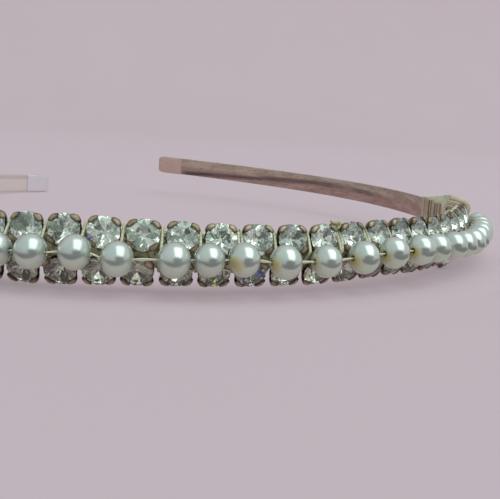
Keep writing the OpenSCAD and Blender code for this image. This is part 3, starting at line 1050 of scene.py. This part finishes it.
# The end of a binding at the rows is rounded over this length, and starts at this share of its full size
END_ROUND = 2.4
END_SWELL = 0.6
PAD_TURNS, PAD_STEPS = 28, 40
PAD_INNER = BAND_THICKNESS / 2 - 0.15
PAD_INSET = 0.14
PAD_START = 0.12
PAD_SHORTER = 0.22
WINDING_R = 0.17
WINDING_SIDES = 6
TURN_PITCH = 0.27
TURN_STEPS = 30
# Turns that close the end of a binding, before it is wound along
CLOSING_TURNS = 6
# The turns stray along by the sum of these waves: how far, radians to a turn
WOBBLES = ((0.05, 2.1), (0.04, 5.3))
# How brown the turns are: the first ones, less by this a turn, the least, and what a turn may have on top
BROWN_FIRST, BROWN_LESS, BROWN_LEAST, BROWN_SPREAD = 0.55, 0.03, 0.1, 0.4
WOUND_SHORTER = 1.2
# Past this distance from the rows' end the close turns are hidden inside the strip, where they would
# cross its inner side. The others go round its edges, and lean away from it beyond them.
HIDDEN_FROM = 5.6
HIDDEN_MARGIN = 0.15
HIDDEN_DEPTH = 0.2
EDGE_MARGIN = 0.3
EDGE_SLOPE = 0.42
# Stripes of winding on the inner side, from the right start on: place along, number of turns, how brown
STRIPES = ((72.4, 2, 0.9), (75.6, 5, 0.95), (78.2, 1, 0.7), (81.0, 6, 0.9), (83.3, 1, 0.7), (85.9, 8, 1.0),
           (88.3, 4, 0.75))
STRIPE_PITCH = 0.33
STRIPE_STEPS = 36
STRIPE_PROUD = 0.04
STRIPE_UNEVEN = 0.02
STRIPE_MARGIN = 0.4


def winding_spot(s, a, start, inner, proud=0.0, share=1.0):
    """A point round a binding as (out, up); a turns from straight outward by way of the top."""
    full = fullness(s, start)
    near = max(0.0, 1 - max(0.0, abs(s) - start) / END_ROUND)
    swell = (END_SWELL + (1 - END_SWELL) * math.sqrt(1 - near ** 2)) * share
    c, up_part = math.cos(a), math.sin(a)
    out = (binding_out(s, start) * swell if c > 0 else inner) * c
    lean = BINDING_LEAN * full * swell * max(0.0, math.sin(2 * a)) if c > 0 else 0.0
    rise = (BINDING_TOP_RISE if up_part > 0 else BINDING_LOW_RISE) - BINDING_END_RISE
    height = BAND_WIDTH / 2 * min(1, share * 2) + (BINDING_END_RISE + rise * full) * swell
    return out + lean + proud * c, (height + proud) * eased(up_part, BINDING_SQUARENESS)


def behind_strip(out, up, hidden):
    """How far out a point of the winding lies: as given in front, inside or behind the strip elsewhere."""
    if out > 0:
        return out
    if hidden and abs(up) < BAND_WIDTH / 2 + HIDDEN_MARGIN:
        return max(out, -HIDDEN_DEPTH)
    clear = EDGE_SLOPE * max(0, abs(up) - BAND_WIDTH / 2 - EDGE_MARGIN)
    return (clear - BAND_THICKNESS / 2 - WINDING_R) * min(1, -3 * out)


def padding(shape, side, start):
    """Padding on the outer side of the strip, under the winding."""
    points = []
    for k in range(PAD_STEPS + 1):
        s = side * (start + PAD_START + (BINDING_LENGTH - PAD_SHORTER) * (k / PAD_STEPS) ** 1.3)
        for a in round_angles(PAD_TURNS):
            out, up = winding_spot(s, a, start, PAD_INNER, -PAD_INSET)
            points.append(place(s, out, up))
    faces = skin(PAD_STEPS + 1, PAD_TURNS)
    if side > 0:
        faces = [face[::-1] for face in faces]
    shape.add(points, faces, finish=1, aged=0.3)


def close_turns(shape, side, start, dice):
    """The winding over the padding, browner where it meets the rows."""
    turns = int((BINDING_LENGTH - WOUND_SHORTER) / TURN_PITCH) + CLOSING_TURNS
    path, aged = [], []
    moods = [dice.uniform(0, BROWN_SPREAD) for k in range(turns)]
    for k in range(turns * TURN_STEPS):
        share = k / TURN_STEPS
        wobble = sum(far * math.sin(share * pace) for far, pace in WOBBLES)
        reach = max(0.06, 0.1 + (share - CLOSING_TURNS) * TURN_PITCH) + wobble
        s = side * (start + reach)
        out, up = winding_spot(s, TAU * share, start, 1, share=min(1, 0.3 + 0.7 * share / CLOSING_TURNS))
        path.append(place(s, behind_strip(out, up, reach > HIDDEN_FROM), up))
        brown = max(BROWN_LEAST, BROWN_FIRST - BROWN_LESS * max(0, share - CLOSING_TURNS))
        aged += [brown + moods[k // TURN_STEPS]] * WINDING_SIDES
    tube(shape, path, WINDING_R, sides=WINDING_SIDES, aged=aged)


def stripes(shape, side, start, dice):
    """Turns of the winding that show on the inner side of the strip."""
    for where, count, brown in STRIPES:
        for k in range(count):
            s = side * (where - RIGHT_START + start + (k - (count - 1) / 2) * STRIPE_PITCH)
            loop, aged = [], []
            for a in round_angles(STRIPE_STEPS):
                out, up = winding_spot(s, a, start, 1, STRIPE_PROUD)
                uneven = dice.uniform(-STRIPE_UNEVEN, STRIPE_UNEVEN)
                loop.append(place(s + uneven, behind_strip(out, up, False), up))
                inside = out < 0 and abs(up) < BAND_WIDTH / 2 + STRIPE_MARGIN
                aged += [brown if inside else 0.2] * WINDING_SIDES
            tube(shape, loop, WINDING_R, sides=WINDING_SIDES, closed=True, aged=aged)


def make_binding(name, node, side, start, seed):
    """Padding on the outer side of the strip, wound closely with thread, which shows inside as stripes."""
    dice = random.Random(seed)
    shape = Shape()
    padding(shape, side, start)
    close_turns(shape, side, start, dice)
    stripes(shape, side, start, dice)
    shape.piece(name, [node], [BINDING_THREAD, BINDING_PAD])


# Studio

CAMERA_AT = Vector((-39.99, -166.25, 24.38)) * MM
CAMERA_YAW, CAMERA_PITCH, CAMERA_ROLL = -0.3651, 0.1664, 0.0605
CAMERA_LENS = 53.0
SENSOR_WIDTH = 36
# The window lamp and the sweep are sized in metres
WINDOW_WAY = Vector((0.31, -0.455, 0.835)).normalized()
WINDOW_TURN = 33
WINDOW_SIZE = (4.2, 6.0)
WINDOW_DISTANCE = 4.5
WINDOW_POWER = 115
SKY_LOW, SKY_HIGH = (0.54, 0.51, 0.52, 1), (0.56, 0.66, 0.65, 1)
SKY_RISE = 0.6
SWEEP_HALF_WIDTH, SWEEP_FRONT, SWEEP_BEND, SWEEP_BEND_R, SWEEP_TOP = 3.0, -2.5, 1.2, 0.8, 3.0
# The black card is an oval beside the camera and an apron on the floor: middle, half size, corners
CARD_X, CARD_Y, CARD_Z = 17, -195, 28
CARD_HALF_WIDTH, CARD_HALF_HEIGHT = 92, 34
CARD_LOWEST = 0.5
CARD_CORNERS = 40
# The apron is a painted shade, a dark sheet on the floor before the rows that shows only in reflections
APRON_OUT = (16, 115)
APRON_ALONG = range(-100, 61, 8)
APRON_UP = 0.4
# Ways to the small bright cards
SPARKS = ((-0.55, -0.62, 0.56), (0.05, -0.88, 0.47), (0.45, -0.8, 0.4), (-0.2, -0.3, 0.93),
          (0.4, 0.1, 0.91))
SPARK_DISTANCE = 450
SPARK_HALF = 45


def sheet(name, points, faces, material, unseen=()):
    """A mesh of the studio, with the kinds of ray that pass through it unseen."""
    mesh = bpy.data.meshes.new(name)
    mesh.from_pydata(points, [], faces)
    mesh.materials.append(material)
    thing = put_in_scene(name, mesh)
    for kind in unseen:
        setattr(thing, "visible_" + kind, False)
    return thing


def make_floor():
    """A pale seamless sweep: a level floor that curves up into a wall far behind. It glows faintly, a
    painted light that softens the shadows cast on it.
    """
    outline = [(y, 0.0) for y in (SWEEP_FRONT, -0.6, 0.0, 0.6, SWEEP_BEND)]
    for k in range(1, 17):
        a = math.pi / 2 * k / 16
        outline.append((SWEEP_BEND + SWEEP_BEND_R * math.sin(a), SWEEP_BEND_R * (1 - math.cos(a))))
    outline.append((SWEEP_BEND + SWEEP_BEND_R, SWEEP_TOP))
    points = [(x, y, z) for y, z in outline for x in (-SWEEP_HALF_WIDTH, SWEEP_HALF_WIDTH)]
    faces = [(2 * k, 2 * k + 1, 2 * k + 3, 2 * k + 2) for k in range(len(outline) - 1)]
    # Painted light: a faint glow of its own lightens the shadows on the floor
    made, tree, shader = finish("pale floor", {"Roughness": 0.85, "Specular IOR Level": 0.2,
                                               "Emission Color": tone(200, 187, 193),
                                               "Emission Strength": 0.4})
    soft = cloud(tree, millimetres(tree), 0.006, 2)
    join(tree, shader, Base_Color=mixed(tree, soft, tone(153, 140, 146), tone(158, 145, 151)))
    floor = sheet("floor", points, faces, made)
    floor.data.polygons.foreach_set("use_smooth", [True] * len(faces))


def make_dark_card():
    """A black card that stands beside the camera and lies on the floor before the rows. It shows only in
    what shines, as the soft dark band below the pearls' highlights. The part on the floor is a painted
    shade, a dark sheet for the floor before the rows lying in shade."""
    points = []
    for a in round_angles(CARD_CORNERS):
        height = max(CARD_LOWEST, CARD_Z + CARD_HALF_HEIGHT * math.sin(a))
        points.append(Vector((CARD_X + CARD_HALF_WIDTH * math.cos(a), CARD_Y, height)) * MM)
    for out in APRON_OUT:
        for s in APRON_ALONG:
            points.append(Vector((*place(s, out, 0).xy, APRON_UP)) * MM)
    count = len(APRON_ALONG)
    faces = [list(range(CARD_CORNERS))]
    for k in range(CARD_CORNERS, CARD_CORNERS + count - 1):
        faces.append((k, k + 1, k + count + 1, k + count))
    made = finish("black card", {"Base Color": (0.05, 0.05, 0.04, 1), "Roughness": 0.9,
                                 "Specular IOR Level": 0.1})[0]
    card = sheet("dark_card", points, faces, made, ("camera", "shadow", "diffuse", "transmission"))


def make_sparks():
    """Small bright cards that are seen only through the stones, for the white flashes of their facets."""
    points, faces = [], []
    for way in SPARKS:
        way = Vector(way).normalized()
        side = way.cross(Vector((0, 0, 1))).normalized() * SPARK_HALF
        rise = side.cross(way).normalized() * SPARK_HALF
        faces.append(list(range(len(points), len(points) + 4)))
        points += [(way * SPARK_DISTANCE + side * a + rise * b) * MM
                   for a, b in ((-1, -1), (1, -1), (1, 1), (-1, 1))]
    made = finish("bright card", {"Base Color": (0, 0, 0, 1), "Specular IOR Level": 0.0,
                                  "Emission Color": (0.95, 1, 1, 1), "Emission Strength": 3.0})[0]
    cards = sheet("sparks", points, faces, made, ("camera", "shadow", "diffuse", "glossy"))


def make_window():
    lamp = bpy.data.lights.new("window", "AREA")
    lamp.shape = "RECTANGLE"
    lamp.size, lamp.size_y = WINDOW_SIZE
    lamp.energy = WINDOW_POWER
    lamp.color = (0.96, 0.98, 1.0)
    window = put_in_scene("window", lamp)
    window.location = WINDOW_WAY * WINDOW_DISTANCE
    window.rotation_mode = "QUATERNION"
    turned = Quaternion(WINDOW_WAY, math.radians(-WINDOW_TURN))
    window.rotation_quaternion = turned @ WINDOW_WAY.to_track_quat("Z", "Y")


def make_room():
    """Soft light from all sides, greyer near the floor and cooler above."""
    world = bpy.data.worlds.new("room")
    bpy.context.scene.world = world
    world.use_nodes = True
    tree = world.node_tree
    height = put(tree, "SeparateXYZ", {0: put(tree, "TexCoord").outputs["Generated"]}).outputs["Z"]
    sky = mixed(tree, between(tree, height, 0.0, SKY_RISE), SKY_LOW, SKY_HIGH)
    tree.links.new(sky, tree.nodes["Background"].inputs["Color"])


def make_camera():
    lens = bpy.data.cameras.new("camera")
    lens.lens = CAMERA_LENS
    lens.sensor_width = SENSOR_WIDTH
    lens.clip_start = 0.005
    lens.clip_end = 20
    camera = put_in_scene("camera", lens)
    camera.matrix_world = (Matrix.Translation(CAMERA_AT) @ Matrix.Rotation(CAMERA_YAW, 4, "Z")
                           @ Matrix.Rotation(math.pi / 2 - CAMERA_PITCH, 4, "X")
                           @ Matrix.Rotation(CAMERA_ROLL, 4, "Z"))
    bpy.context.scene.camera = camera
    bpy.context.scene.view_settings.view_transform = "Standard"


make_strip()
make_settings("upper_settings", "upper_cups", UPPER_ROW, UPPER_METAL, 21)
make_settings("lower_settings", "lower_cups", LOWER_ROW, LOWER_METAL, 22)
make_stones("upper_cut_stones", "upper_stones", UPPER_ROW, UPPER_FOIL, UPPER_PAINTED_FLASHES, 31)
make_stones("lower_cut_stones", "lower_stones", LOWER_ROW, LOWER_FOIL, LOWER_PAINTED_FLASHES, 32)
pearl_dice = random.Random(41)
for pearl_number in range(1, len(PEARLS) + 1):
    make_pearl(pearl_number, pearl_dice)
make_string()
make_wraps(5)
make_knot()
make_binding("right_winding", "binding_right", 1, RIGHT_START, 51)
make_binding("left_winding", "binding_left", -1, LEFT_START, 52)
make_floor()
make_dark_card()
make_sparks()
make_window()
make_room()
make_camera()
